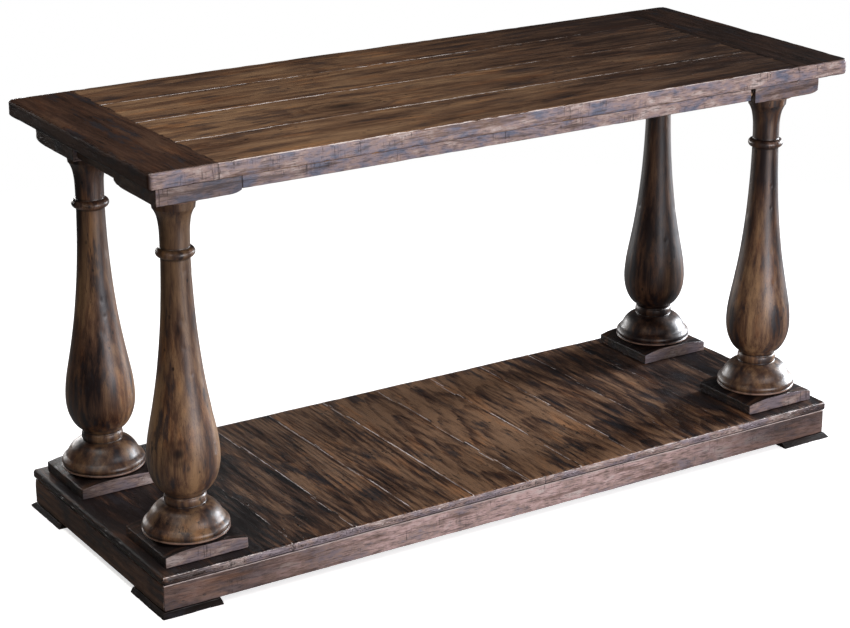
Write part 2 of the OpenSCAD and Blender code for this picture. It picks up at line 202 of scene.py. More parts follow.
def seams_wax_and_shade(points, low, high, along, seams, joints, ends, under):
    """How far each point of a board is from its pale seams, and how much dark wax lies along its joints, with
    painted shade low on its sides.
    """
    across = 1 if along == "x" else 0
    to_long = (points[:, across] - low[across], high[across] - points[:, across])
    to_seam = np.full(len(points), FAR)
    wax = np.zeros(len(points))
    for side in (0, 1):
        if seams[side]:
            to_seam = np.minimum(to_seam, to_long[side] + (1 - seams[side]) * FAINT_SEAM)
        wax = np.maximum(wax, joints[side] * np.exp(-((to_long[side] / JOINT_REACH) ** 2)))
    # Painted shade: darker low on the sides, where the shelf boards sit on the plinth
    if under:
        wax = np.maximum(wax, 1 - ramp(points[:, 2] - low[2], 0.5 * under, 1.2 * under))
    if ends:
        to_end = np.minimum(points[:, 0] - low[0], high[0] - points[:, 0])
        wax = np.maximum(wax, np.exp(-((to_end / END_REACH) ** 2)))
    return to_seam + high[2] - points[:, 2], wax


def worn_away(points, normals, along, seed, chips, dent_count):
    """How deep each point of a board is worn, dented, chipped and sawn, and how much of the saw it shows."""
    stretch = {"x": [3, 1, 1], "y": [1, 3, 1]}[along]
    grain_scale = np.array({"x": [5, 28, 28], "y": [28, 5, 28]}[along])
    arris = ramp(1 - np.abs(normals).max(axis=1), 0.0, 0.25)
    depth = WAVE_DEPTH * (0.5 + 0.5 * layered(points * grain_scale, seed + 1))
    depth += FINE_DEPTH * (0.5 + 0.5 * noise(points * grain_scale * 5, seed + 2))
    depth += dents(points, seed + 3, dent_count, DENT_SIZE, DENT_DEPTH, stretch)
    depth += chips * CHIP_DEPTH * ramp(layered(points * 55, seed + 4), 0.22, 0.55) * arris
    sawn = ramp(np.abs(normals[:, 1]), 0.5, 0.9)
    depth += SAW_DEPTH * sawn * ramp(noise(points * [160, 8, 12], seed + 5), 0.35, 0.8)
    return depth, sawn


def board(node, along, material, ease, eases=None, step=5 * MM, chips=1.0, warp=None, gap=0.15 * MM,
          dent_count=40, seams=(0, 0), joints=(0, 0), ends=False, under=0.0, rub_and_highlight=1.0, sawn_share=1.0,
          sawn_reach=(1.0, 1.1), tone=0.5, right_shade=0.0):
    """The worn board that stands for a CAD node.

    ease is how far its arrises are rounded along X, Y and Z at most, and eases gives it for each point.
    warp bends the finished box. gap is left free round it. seams says how much of a pale seam, partly worn
    and partly a painted highlight, its long sides, low and high, show, from 0 to 1, and joints how much dark
    wax they hold. ends puts such wax on its ends too, and under is how far up its sides painted shade reaches
    from below. rub_and_highlight is how much its arrises are worn pale and given a painted highlight,
    sawn_share how much of the saw's marks is left, and sawn_reach where along X they thin out. tone is how
    light its wood is, about 0 to 1, and right_shade how much painted shade darkens it towards the table's
    right end."""
    seed = seeds[node]
    low, high = (np.array(v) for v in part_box(node))
    low[:2] += gap
    high[:2] -= gap
    widest = np.array(ease) * 1.3
    xs, ys, zs = (lines(low[k], high[k], step if k < 2 else step * 0.8, widest[k]) for k in range(3))
    points, quads = box_grid(xs, ys, zs)
    radii = eases(points, low, high) if eases else np.tile(ease, (len(points), 1))

    # The arrises are worn by different amounts along their length
    uneven = 1 + 0.5 * layered(points * 16, seed)[:, None]
    radii = np.clip(radii * uneven, SHARPEST, widest)
    inner = np.clip(points, low + radii, high - radii)
    normals = (points - inner) / radii
    normals /= np.linalg.norm(normals, axis=1)[:, None]
    to_sides = np.sort(np.concatenate([points - low, high - points], axis=1), axis=1)
    to_arris = to_sides[:, 1]
    # Painted shade: the wood gets darker towards the table's right end, where less light reaches it
    shaded_right = right_shade * ramp(points[:, 0], *RIGHT_SHADE_REACH)
    to_seam, wax = seams_wax_and_shade(points, low, high, along, seams, joints, ends, under)
    points = inner + normals * radii
    depth, sawn = worn_away(points, normals, along, seed, chips, dent_count)
    points = points - normals * depth[:, None]
    grain = timber(points, along, seed)
    if warp:
        points = warp(points, low, high)

    front = ramp(-normals[:, 1], 0.1, 0.5)
    upward = ramp(normals[:, 2], -0.2, 0.3)
    unfaded = 1 - 0.8 * ramp(np.abs(points[:, 0]), *sawn_reach)
    attributes = {
        "grain": grain,
        # Arrises worn pale, most on the upper front ones, partly wear and partly a painted highlight
        "wear_and_highlight": rub_and_highlight * (0.2 + 0.8 * front * upward) * np.exp(-to_arris / PALE_ARRIS_REACH),
        "sawn": sawn_share * sawn * (0.5 + 0.5 * front) * unfaded,
        "seam": to_seam + shaded_right * SHADED_SEAM,
        "wax_stain_and_shade": wax,
        "tone": tone - shaded_right,
    }
    return make(node + "_worn", points, quads, attributes, material, node)


def ease_outside(field, tight, wide, reach=14 * MM, corner=0.0):
    """Rounds a board little at its seams, and more where it is near the outside of the whole field of boards.

    field is the last board of that field. tight and wide are the roundings along X, Y and Z, and corner is
    added to those along X and Y at the field's corners. reach is how far in from the outside they grow."""
    edge = np.array(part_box(field)[1])

    def eases(points, low, high):
        near_x = 1 - ramp(edge[0] - np.abs(points[:, 0]), 0, reach)
        near_y = 1 - ramp(edge[1] - np.abs(points[:, 1]), 0, reach)
        share = np.stack([near_x, near_y, np.maximum(near_x, near_y)], axis=1)
        rounding = np.array(tight) + (np.array(wide) - np.array(tight)) * share
        rounding[:, :2] += corner * (near_x * near_y)[:, None]
        return rounding
    return eases


# ---- Node graphs ----

class Graph:
    """Short ways to add shader nodes to a material."""

    def __init__(self, name):
        self.material = bpy.data.materials.new(name)
        self.material.use_nodes = True
        self.tree = self.material.node_tree
        self.tree.nodes.clear()
        self.surface = self.add("ShaderNodeBsdfPrincipled")
        output = self.add("ShaderNodeOutputMaterial")
        self.tree.links.new(self.surface.outputs[0], output.inputs[0])

    def add(self, kind, **settings):
        node = self.tree.nodes.new(kind)
        for key, value in settings.items():
            setattr(node, key, value)
        return node

    def put(self, socket, value):
        """Links a socket to another, or sets it to a number or colour."""
        if isinstance(value, bpy.types.NodeSocket):
            self.tree.links.new(value, socket)
        else:
            socket.default_value = value

    def attribute(self, name, output="Fac"):
        return self.add("ShaderNodeAttribute", attribute_name=name).outputs[output]

    def math(self, operation, a, b=0.0, clamp=False):
        node = self.add("ShaderNodeMath", operation=operation, use_clamp=clamp)
        self.put(node.inputs[0], a)
        self.put(node.inputs[1], b)
        return node.outputs[0]

    def total(self, start, *terms, clamp=False):
        """start plus, for each (value, middle, weight), weight times what the value is above its middle."""
        for k, (value, middle, weight) in enumerate(terms, 1):
            above = self.math("SUBTRACT", value, middle) if middle else value
            start = self.math("ADD", start, self.math("MULTIPLY", above, weight), clamp and k == len(terms))
        return start

    def vector(self, operation, a, b):
        node = self.add("ShaderNodeVectorMath", operation=operation)
        self.put(node.inputs[0], a)
        self.put(node.inputs[1], b)
        return node.outputs["Value" if operation == "DOT_PRODUCT" else "Vector"]

    def noise(self, place, scale, detail=3.0, roughness=0.55, output="Fac"):
        """Noise that is stretched by its three scales, in features per metre."""
        node = self.add("ShaderNodeTexNoise", noise_dimensions="3D")
        self.put(node.inputs["Vector"], self.vector("MULTIPLY", place, scale))
        self.put(node.inputs["Scale"], 1.0)
        self.put(node.inputs["Detail"], detail)
        self.put(node.inputs["Roughness"], roughness)
        return node.outputs[output]

    def ramp(self, value, low, high, to_low=0.0, to_high=1.0):
        node = self.add("ShaderNodeMapRange", interpolation_type="SMOOTHSTEP")
        self.put(node.inputs["Value"], value)
        self.put(node.inputs["From Min"], low)
        self.put(node.inputs["From Max"], high)
        self.put(node.inputs["To Min"], to_low)
        self.put(node.inputs["To Max"], to_high)
        return node.outputs["Result"]

    def colours(self, value, stops):
        """A colour for each value: stops are (place, colour) pairs."""
        node = self.add("ShaderNodeValToRGB")
        elements = node.color_ramp.elements
        while len(elements) < len(stops):
            elements.new(0.5)
        for element, (place, colour) in zip(elements, stops):
            element.position = place
            element.color = (*colour, 1)
        self.put(node.inputs[0], value)
        return node.outputs[0]

    def mix(self, share, a, b, blend="MIX"):
        node = self.add("ShaderNodeMix", data_type="RGBA", blend_type=blend)
        self.put(node.inputs["Factor"], share)
        for socket, value in ((node.inputs[6], a), (node.inputs[7], b)):
            self.put(socket, (*value, 1) if isinstance(value, tuple) else value)
        return node.outputs[2]

    def bump(self, height, strength, distance):
        node = self.add("ShaderNodeBump")
        self.put(node.inputs["Strength"], strength)
        self.put(node.inputs["Distance"], distance)
        self.put(node.inputs["Height"], height)
        return node.outputs[0]


BLUE_GREY = (0.125, 0.135, 0.185)
MAUVE = (0.225, 0.185, 0.205)
PINK_BROWN = (0.30, 0.215, 0.19)
BONE = (0.46, 0.385, 0.36)
ROUGH_DARK = (0.045, 0.035, 0.036)
PINK = (0.44, 0.31, 0.295)
PALE_WEAR_AND_HIGHLIGHT = (0.58, 0.52, 0.50)
INK = (0.016, 0.015, 0.019)
SAWN = (BLUE_GREY, MAUVE, PINK_BROWN, BONE)


def knot_shapes(g, grain, rarity):
    """Where knots bend the grain around them, and their dark cores."""
    cells = g.add("ShaderNodeTexVoronoi", feature="F1")
    g.put(cells.inputs["Vector"], g.vector("MULTIPLY", grain, (3.2, 8.5, 8.5)))
    g.put(cells.inputs["Scale"], 1.0)
    lucky = g.ramp(cells.outputs["Color"], rarity, rarity + 0.02)
    rough = g.math("MULTIPLY", g.noise(grain, (60, 160, 160)), 0.08)
    ragged = g.math("ADD", cells.outputs["Distance"], rough)
    bend = g.math("MULTIPLY", g.ramp(ragged, 0.46, 0.06), lucky)
    core = g.math("MULTIPLY", g.ramp(ragged, 0.17, 0.09), lucky)
    return bend, core


def growth_lines(g, grain, knot, rings):
    """Late wood in the growth rings, as a flat saw cut through them: 1 on the dark lines."""
    waves = g.vector("MULTIPLY", g.noise(grain, (1.8, 9, 9), 2.0, output="Color"), (0.0, 0.030, 0.030))
    cut = g.vector("ADD", grain, waves)
    across = g.vector("DOT_PRODUCT", cut, (0.0, 1.0, 0.0))
    deep = g.vector("DOT_PRODUCT", cut, (0.05, 0.0, 1.0))
    squares = g.math("ADD", g.math("MULTIPLY", across, across), g.math("MULTIPLY", deep, deep))
    from_pith = g.math("SQRT", squares)
    from_pith = g.math("ADD", from_pith, g.math("MULTIPLY", knot, 0.045))
    from_pith = g.math("ADD", from_pith, g.math("MULTIPLY", g.noise(grain, (9, 90, 90)), 0.35 / rings))
    phase = g.math("FRACT", g.math("MULTIPLY", from_pith, rings))
    return g.math("MULTIPLY", g.ramp(phase, 0.25, 0.88), g.ramp(phase, 1.0, 0.92))


def cracks(g, grain):
    """Cracks that follow the grain, in patches."""
    line = g.math("ABSOLUTE", g.math("SUBTRACT", g.noise(grain, (3.5, 60, 60), 2.0), 0.5))
    patch = g.ramp(g.noise(grain, (5, 12, 12)), 0.54, 0.60)
    return g.math("MULTIPLY", g.ramp(line, 0.010, 0.002), patch)


def nicks(g, grain):
    """Small holes and nicks, in groups."""
    specks = g.add("ShaderNodeTexVoronoi", feature="F1")
    g.put(specks.inputs["Vector"], g.vector("MULTIPLY", grain, (55, 90, 90)))
    g.put(specks.inputs["Scale"], 1.0)
    lucky = g.ramp(specks.outputs["Color"], 0.58, 0.60)
    nick = g.math("MULTIPLY", g.ramp(specks.outputs["Distance"], 0.26, 0.14), lucky)
    return g.math("MULTIPLY", nick, g.ramp(g.noise(grain, (6, 16, 16)), 0.50, 0.58))


def sawn_face(g, colour, height, mid, sawn_colours):
    """Makes the faces that show the saw paler, with blue-grey weathering and dark cross marks."""
    sawn = g.attribute("sawn")
    place = g.add("ShaderNodeTexCoord").outputs["Object"]
    mottle = g.noise(place, (17, 36, 36), 5.0, 0.68)
    rough_colour = g.colours(mottle, list(zip((0.38, 0.46, 0.55, 0.66), sawn_colours)))
    scratch = g.noise(place, (45, 420, 420), 3.0, 0.65)
    rough_colour = g.mix(g.ramp(scratch, 0.50, 0.36), rough_colour, g.mix(0.65, rough_colour, ROUGH_DARK))
    shade = g.noise(place, (5, 60, 60), 4.0, 0.65)
    rough_colour = g.mix(g.ramp(shade, 0.45, 0.35, 0.0, 0.65), rough_colour, mid)
    marks = g.ramp(g.noise(place, (430, 22, 22), 1.0), 0.60, 0.70)
    marks = g.math("MULTIPLY", marks, g.ramp(g.noise(place, (11, 34, 34)), 0.50, 0.60))
    rough_colour = g.mix(g.math("MULTIPLY", marks, 0.75), rough_colour, ROUGH_DARK)
    cut = g.math("MULTIPLY", marks, sawn)
    scratched = g.math("MULTIPLY", scratch, sawn)
    return g.mix(sawn, colour, rough_colour), g.total(height, (cut, 0, -0.9), (scratched, 0, 0.5))


def wood(name, dark, mid, light, pale, gloss, rings=70.0, knots=0.62, seam_width=4.5 * MM, sawn_look=True,
         contrast=1.0, line_share=0.3, coat=0.0, specular=0.35, relief=0.6, sawn_colours=SAWN, figure=1.0,
         fine=1.0, inky_share=0.75):
    """Stained and waxed timber.

    dark, mid and light are its colours, and pale shows where arrises are worn and given a painted highlight.
    gloss is its lowest and highest roughness. rings is how many growth rings there are in a metre, line_share
    how dark they are, and knots how rare knots are, from 0 to 1. contrast is that of the whole grain, fine
    that of its threads, and figure how narrow its streaks are. inky_share is how dark its blue-black blotches
    are. sawn_look says whether it shows the saw, and sawn_colours are its colours there. relief is the
    strength of its bump."""
    g = Graph(name)
    grain = g.attribute("grain", "Vector")
    knot, core = knot_shapes(g, grain, knots)
    late = growth_lines(g, grain, knot, rings)
    blotch = g.noise(grain, (4.5, 20, 20), 3.0, 0.6)
    streak = g.noise(grain, (8 * figure, 120 * figure, 120 * figure), 5.0, 0.62)
    thread = g.noise(grain, (40, 650, 650), 2.0, 0.6)
    pores = g.ramp(g.noise(grain, (60, 1200, 1200), 1.0), 0.60, 0.70)
    crack = cracks(g, grain)
    nick = nicks(g, grain)

    value = g.total(0.5, (blotch, 0.5, 1.4 * contrast), (streak, 0.5, 1.4 * contrast),
                    (thread, 0.5, fine * contrast), (g.attribute("tone"), 0.5, 0.3),
                    (late, 0.35, -line_share), clamp=True)
    colour = g.colours(value, [(0.22, dark), (0.48, mid), (0.80, light)])
    amber = g.ramp(g.noise(grain, (7, 32, 32), 4.0, 0.62), 0.53, 0.66, 0.0, 0.55)
    colour = g.mix(amber, colour, g.mix(1.0, colour, (1.55, 1.28, 0.95), "MULTIPLY"))
    inky = g.ramp(g.noise(grain, (9, 40, 40), 5.0, 0.68), 0.46, 0.36, 0.0, inky_share)
    colour = g.mix(inky, colour, INK)
    colour = g.mix(g.math("MULTIPLY", pores, 0.5), colour, dark)
    colour = g.mix(g.math("MULTIPLY", knot, 0.55), colour, dark)
    colour = g.mix(g.math("MULTIPLY", core, 0.9), colour, tuple(0.25 * c for c in dark))
    # Cracks and nicks are drawn near black
    near_black = tuple(0.2 * c for c in dark)
    colour = g.mix(g.math("MULTIPLY", crack, 0.85), colour, near_black)
    colour = g.mix(g.math("MULTIPLY", nick, 0.8), colour, near_black)
    height = g.total(0.0, (streak, 0, 0.5), (crack, 0, -0.8), (thread, 0, 0.3), (pores, 0, -0.25),
                     (late, 0, -0.25), (core, 0, -0.5), (nick, 0, -0.8))
    if sawn_look:
        colour, height = sawn_face(g, colour, height, mid, sawn_colours)

    # Dark wax and stain, with painted shade low on the shelf boards and at the legs' necks; pale arrises,
    # worn and with a painted highlight; and pale broken seam lines, part wear and part painted highlight
    colour = g.mix(g.attribute("wax_stain_and_shade"), colour, tuple(0.5 * c for c in dark))
    patchy = g.math("MULTIPLY", g.math("SUBTRACT", g.noise(grain, (30, 60, 60), 4.0, 0.7), 0.55), 1.6)
    colour = g.mix(g.ramp(g.math("ADD", g.attribute("wear_and_highlight"), patchy), 0.4, 0.75), colour, pale)
    ragged_seam = g.math("MULTIPLY", g.noise(grain, (55, 90, 90), 3.0, 0.7), 2 * seam_width)
    on_seam = g.ramp(g.math("SUBTRACT", ragged_seam, g.attribute("seam")), 0.0, 0.6 * seam_width)
    broken = g.ramp(g.noise(grain, (7, 1, 1), 3.0, 0.7), 0.34, 0.50, 0.25, 1.0)
    colour = g.mix(g.math("MULTIPLY", on_seam, broken), colour, PALE_WEAR_AND_HIGHLIGHT)

    g.put(g.surface.inputs["Base Color"], colour)
    sheen = g.total(0.0, (streak, 0, 0.6), (blotch, 0, 0.4))
    g.put(g.surface.inputs["Roughness"], g.ramp(sheen, 0.35, 0.65, gloss[0], gloss[1]))
    g.put(g.surface.inputs["Specular IOR Level"], specular)
    g.put(g.surface.inputs["Coat Weight"], coat)
    g.put(g.surface.inputs["Coat Roughness"], 0.35)
    g.put(g.surface.inputs["Normal"], g.bump(height, relief, 0.9 * MM))
    return g.material


def metal(name, colour, roughness):
    """Zinc-plated steel, a little uneven."""
    g = Graph(name)
    place = g.add("ShaderNodeTexCoord").outputs["Object"]
    mottle = g.noise(place, (220, 220, 220))
    g.put(g.surface.inputs["Metallic"], 1.0)
    dull = tuple(0.7 * c for c in colour)
    g.put(g.surface.inputs["Base Color"], g.mix(mottle, colour, dull))
    g.put(g.surface.inputs["Roughness"], g.ramp(mottle, 0.3, 0.7, roughness, roughness + 0.2))
    g.put(g.surface.inputs["Normal"], g.bump(mottle, 0.15, 0.2 * MM))
    return g.material


top_wood = wood(
    "top_wood", dark=(0.026, 0.011, 0.006), mid=(0.108, 0.056, 0.030), light=(0.240, 0.142, 0.074),
    pale=PALE_WEAR_AND_HIGHLIGHT, gloss=(0.38, 0.58), seam_width=6.5 * MM, contrast=0.50, line_share=0.12, specular=0.3,
    inky_share=0.45)
end_wood = wood(
    "end_wood", dark=(0.012, 0.005, 0.003), mid=(0.042, 0.019, 0.011), light=(0.088, 0.046, 0.025),
    pale=(0.16, 0.12, 0.11), gloss=(0.40, 0.60), contrast=0.45, line_share=0.10, specular=0.2)
frame_wood = wood(
    "frame_wood", dark=(0.012, 0.007, 0.005), mid=(0.044, 0.025, 0.018), light=(0.090, 0.058, 0.040),
    pale=BONE, gloss=(0.45, 0.65), contrast=0.6, line_share=0.12, specular=0.25)
leg_wood = wood(
    "leg_wood", dark=(0.010, 0.004, 0.004), mid=(0.086, 0.042, 0.023), light=(0.240, 0.138, 0.068),
    pale=(0.20, 0.12, 0.09), gloss=(0.39, 0.49), rings=90.0, knots=0.60, sawn_look=False, contrast=0.82,
    line_share=0.06, coat=0.2, specular=0.4, relief=0.20, figure=0.6, fine=0.40)
shelf_wood = wood(
    "shelf_wood", dark=(0.006, 0.003, 0.003), mid=(0.062, 0.029, 0.017), light=(0.235, 0.130, 0.070),
    pale=PALE_WEAR_AND_HIGHLIGHT, gloss=(0.34, 0.55), rings=130.0, seam_width=4.0 * MM, contrast=0.80, line_share=0.20,
    specular=0.3, sawn_colours=(MAUVE, MAUVE, PINK_BROWN, BONE))
plinth_wood = wood(
    "plinth_wood", dark=(0.014, 0.008, 0.006), mid=(0.072, 0.038, 0.026), light=(0.155, 0.092, 0.062),
    pale=BONE, gloss=(0.40, 0.60), contrast=0.65, line_share=0.12, specular=0.25,
    sawn_colours=(MAUVE, PINK_BROWN, PINK, BONE))
inner_wood = wood(
    "inner_wood", dark=(0.10, 0.06, 0.035), mid=(0.26, 0.17, 0.10), light=(0.40, 0.28, 0.18),
    pale=(0.45, 0.33, 0.22), gloss=(0.6, 0.8), sawn_look=False, contrast=0.6)
foot_wood = wood(
    "foot_wood", dark=(0.003, 0.002, 0.002), mid=(0.009, 0.006, 0.005), light=(0.020, 0.013, 0.011),
    pale=(0.05, 0.045, 0.045), gloss=(0.50, 0.65), sawn_look=False, contrast=0.7, specular=0.12)
steel = metal("steel", (0.55, 0.55, 0.53), 0.3)


# ---- The table ----

top_ease = (5.5 * MM, 5.5 * MM, 5.5 * MM)
corner_ease = (10 * MM, 10 * MM, 5.5 * MM)
ease_plank = ease_outside("breadboard_right", (2 * MM, 2 * MM, 2.2 * MM), top_ease, corner=4.5 * MM)
# Top planks: the back plank's lower tone is painted shade, they are darkened with painted shade towards the
# right end, and their pale seams are part wear and part painted highlight
planks = ((1, 0.62, (0, 1.0)), (2, 0.66, (1.0, 0.8)), (3, 0.60, (0.8, 0.7)), (4, 0.35, (0.7, 0)))
for n, tone, seams in planks:
    board(f"top_plank_{n}", "x", top_wood, top_ease, ease_plank, chips=2.0, dent_count=90,
          seams=seams, ends=True, tone=tone, right_shade=0.75)
# The right breadboard's lower tone is painted shade towards the table's right end
for side, joints, tone in (("left", (0.45, 1), 0.35), ("right", (1, 0), 0.0)):
    board(f"breadboard_{side}", "y", end_wood, corner_ease, ease_plank, dent_count=80,
          joints=joints, tone=tone)

nose = (7 * MM, 7 * MM, 6 * MM)
ease_slab = ease_outside("shelf_board_12", (1.2 * MM, 2 * MM, 1.6 * MM), nose)
# Each shelf board's own tone, with a painted pool of light over the middle boards and painted shade towards
# both ends
shelf_tones_and_light = (-0.6, -0.4, 0.2, 0.7, 1.0, 1.2, 1.15, 1.05, 0.65, 0.35, 0.05, -0.3)
# How strong each pale seam between shelf boards is, part wear and part painted highlight
shelf_seams = (0, 0, 0.7, 0.9, 1, 1, 0.9, 0.9, 0.8, 0.6, 0.5, 0.4, 0)
# The shelf boards are darkened with painted shade low on their sides, where the slab sits on the plinth
for n, tone in enumerate(shelf_tones_and_light, 1):
    board(f"shelf_board_{n:02d}", "y", shelf_wood, nose, ease_slab, 6 * MM,
          seams=shelf_seams[n - 1:n + 1], joints=(n in (2, 3), n in (1, 2)), under=4 * MM, rub_and_highlight=0.8,
          sawn_reach=(0.52, 0.70), tone=tone)


def mitre(axis):
    """Draws in the ends of a plinth rail towards its inner face, at 45 degrees. axis is along the rail."""
    def warp(points, low, high):
        across = 1 - axis
        outer = low[across] if abs(low[across]) > abs(high[across]) else high[across]
        depth = np.abs(points[:, across] - outer)
        half = high[axis]
        points = points.copy()
        points[:, axis] *= (half - depth) / half
        return points
    return warp


sides = (("front", 0), ("back", 0), ("left", 1), ("right", 1))
# The plinth rails are darkened with painted shade towards the right end, and their top arrises are worn pale
# with a painted highlight
for place, axis in sides:
    board(f"plinth_{place}", "xy"[axis], plinth_wood, (2 * MM, 2 * MM, 2.4 * MM),
          warp=mitre(axis), gap=0.0, rub_and_highlight=1.3, sawn_reach=(0.25, 0.60), right_shade=0.4)

frame_ease = (2 * MM, 2 * MM, 2 * MM)
for place, axis in sides:
    board(f"frame_rail_{place}", "xy"[axis], frame_wood, frame_ease)


def block_underside(points, low, high):
    """The lower edges of a corner block are rounded at its right end and, over a longer run, at its back."""
    rise = 8 * MM
    # A little less than a full quarter round, which would end upright
    fullness = 0.98
    lift = np.zeros(len(points))
    for axis, run in ((0, 22 * MM), (1, 40 * MM)):
        t = np.clip((points[:, axis] - (high[axis] - run)) / run, 0, 1)
        lift = np.maximum(lift, rise * (1 - np.sqrt(1 - t * t * fullness)))
    height = (high[2] - points[:, 2]) / (high[2] - low[2])
    points = points.copy()
    points[:, 2] += lift * height
    return points


def crown(points, low, high):
    """The top of a leg's square block falls away towards its left and right ends."""
    run, fall = 54 * MM, 7 * MM
    to_end = np.minimum(points[:, 0] - low[0], high[0] - points[:, 0])
    drop = fall * np.clip(1 - to_end / run, 0, 1) ** 2
    height = (points[:, 2] - low[2]) / (high[2] - low[2])
    points = points.copy()
    points[:, 2] -= drop * height
    return points


def flare(points, low, high):
    """The outer sides of a foot pad slope in from its toe to the plinth."""
    toe = 1.5 * MM
    rise = np.clip((points[:, 2] - low[2] - toe) / (high[2] - low[2] - toe), 0, 1)
    points = points.copy()
    for axis, depth in ((0, 6 * MM), (1, 10 * MM)):
        outward = np.sign(low[axis])
        inner = low[axis] if outward > 0 else high[axis]
        outer = high[axis] if outward > 0 else low[axis]
        share = (points[:, axis] - inner) / (outer - inner)
        points[:, axis] -= outward * depth * rise * share
    return points


# A leg's mesh: how many points there are round it, and how far apart its rings are at most
LEG_AROUND = 144
LEG_STEP = 2.6 * MM
# The radius that parts the outside of a leg from its bolt holes, and how exactly heights are told apart
OUTSIDE = 15 * MM
LEVEL = 0.01 * MM


def leg_outline(node, axis):
    """The radius of a leg's CAD node at each height where its surface has points."""
    co = np.array([v.co for v in frame["nodes"][node].data.vertices])
    radius = np.hypot(co[:, 0] - axis[0], co[:, 1] - axis[1])
    outer = radius > OUTSIDE
    levels = np.round(co[outer, 2] / LEVEL).astype(int)
    return np.array([(radius[outer][levels == level].max(), level * LEVEL) for level in np.unique(levels)])


def evenly(outline, step):
    """Points at an even spacing along an outline, its own corners kept."""
    rings = [outline[0]]
    for a, b in zip(outline[:-1], outline[1:]):
        count = max(1, math.ceil(np.linalg.norm(b - a) / step))
        rings += [a + (b - a) * k / count for k in range(1, count + 1)]
    return np.array(rings)


def lathe(rings, axis, around):
    """Points, quads and normals of rings round an upright axis. Each ring has a radius and a height."""
    angle = np.arange(around) * 2 * math.pi / around
    unit = np.stack([np.cos(angle), np.sin(angle)], axis=1)
    points = np.empty((len(rings), around, 3))
    points[:, :, :2] = axis + rings[:, :1, None] * unit
    points[:, :, 2] = rings[:, 1:]
    number = np.arange(len(rings) * around).reshape(len(rings), around)
    right = np.roll(number, -1, axis=1)
    quads = np.stack([number[:-1], right[:-1], right[1:], number[1:]], axis=-1).reshape(-1, 4)

    slope = np.gradient(rings, axis=0)
    outward = np.stack([slope[:, 1], -slope[:, 0]], axis=1)
    outward /= np.maximum(np.linalg.norm(outward, axis=1), 1e-9)[:, None]
    normals = np.empty((len(rings), around, 3))
    normals[:, :, :2] = outward[:, :1, None] * unit
    normals[:, :, 2] = outward[:, 1:]
    return points.reshape(-1, 3), quads, normals.reshape(-1, 3)


def knot_stain(points, axis, outline, knots, seed):
    """How dark the knots of a leg are at each point: dark cores, with a fainter ring round each."""
    dark = np.zeros(len(points))
    for direction, height, size in knots:
        turn = math.radians(direction)
        reach = np.interp(height, outline[:, 1], outline[:, 0])
        centre = [axis[0] + reach * math.cos(turn), axis[1] + reach * math.sin(turn), height]
        away = np.linalg.norm(points - centre, axis=1) * (1 + 0.25 * noise(points * 90, seed)) / size
        dark = np.maximum(dark, 0.9 * np.exp(-(away**3)) + 0.45 * np.exp(-((away - 1.9) ** 2) * 3))
    return dark


def turned(node, material, tone, knots):
    """A turned leg, lathed from the outline of its CAD node and then worn.

    tone is how light its wood is, and knots are dark knots on its surface, each with its direction in degrees
    from X, its height and its size."""
    seed = seeds[node]
    low, high = (np.array(v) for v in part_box(node))
    axis = (low + high)[:2] / 2
    outline = leg_outline(node, axis)
    rings = np.concatenate([[[0.0, low[2]]], evenly(outline, LEG_STEP), [[0.0, high[2]]]])
    points, quads, normals = lathe(rings, axis, LEG_AROUND)
    depth = 0.5 * MM * (0.5 + 0.5 * layered(points * [22, 22, 7], seed))
    depth += 0.15 * MM * (0.5 + 0.5 * noise(points * [130, 130, 30], seed + 1))
    depth += dents(points, seed + 2, 60, 4 * MM, 0.8 * MM, [1, 1, 1.6])
    at_axis = np.repeat(rings[:, 0] < 1 * MM, LEG_AROUND)
    depth[at_axis] = 0
    points = points - normals * depth[:, None]

    # Hollows of the turning hold dark wax, its beads and rims are worn bright with a painted highlight, its
    # foot is stained darker, and its neck under the tabletop is darker with painted shade
    slope = np.gradient(rings, axis=0)
    bend = np.gradient(np.unwrap(np.arctan2(slope[:, 1], slope[:, 0])))
    bead_wear_and_highlight = ramp(bend, 0.05, 0.5)
    waxed = 0.8 * ramp(-bend, 0.05, 0.5)
    low_stain = 0.34 * (1 - ramp(rings[:, 1], 0.150, 0.175))
    neck_shade = 0.42 * ramp(rings[:, 1], 0.36, 0.56)
    dark = np.repeat(np.maximum(waxed, low_stain + neck_shade), LEG_AROUND)
    attributes = {
        "grain": timber(points, "z", seed),
        "wear_and_highlight": np.repeat(bead_wear_and_highlight, LEG_AROUND) * 0.8,
        "wax_stain_and_shade": np.maximum(dark, knot_stain(points, axis, outline, knots, seed + 3)),
        "seam": np.full(len(points), FAR),
        "tone": np.full(len(points), tone),
    }
    return make(node + "_turned", points, quads, attributes, material, node)


# Each leg's tone and knots: the back right leg's low tone is painted shade
legs = (
    ("front_left", 0.80, ((-123, 0.260, 10 * MM), (-36, 0.208, 6 * MM))),
    ("front_right", 0.50, ()),
    ("back_left", 0.50, ((140, 0.290, 7 * MM),)),
    ("back_right", -0.05, ((-60, 0.330, 6 * MM),)),
)
for corner, tone, knots in legs:
    board(f"corner_block_{corner}", "x", frame_wood, frame_ease, warp=block_underside, gap=0.0,
          sawn_share=0.6)
    board(f"leg_base_{corner}", "x", shelf_wood, (2 * MM, 1.8 * MM, 2 * MM), warp=crown,
          gap=0.0, rub_and_highlight=0.25, sawn_share=0.7, tone=-0.5)
    board(f"foot_pad_{corner}", "x", foot_wood, (1 * MM, 1 * MM, 1 * MM), step=4 * MM, chips=0.3,
          warp=flare, gap=0.0)
    turned(f"leg_{corner}", leg_wood, tone, knots)


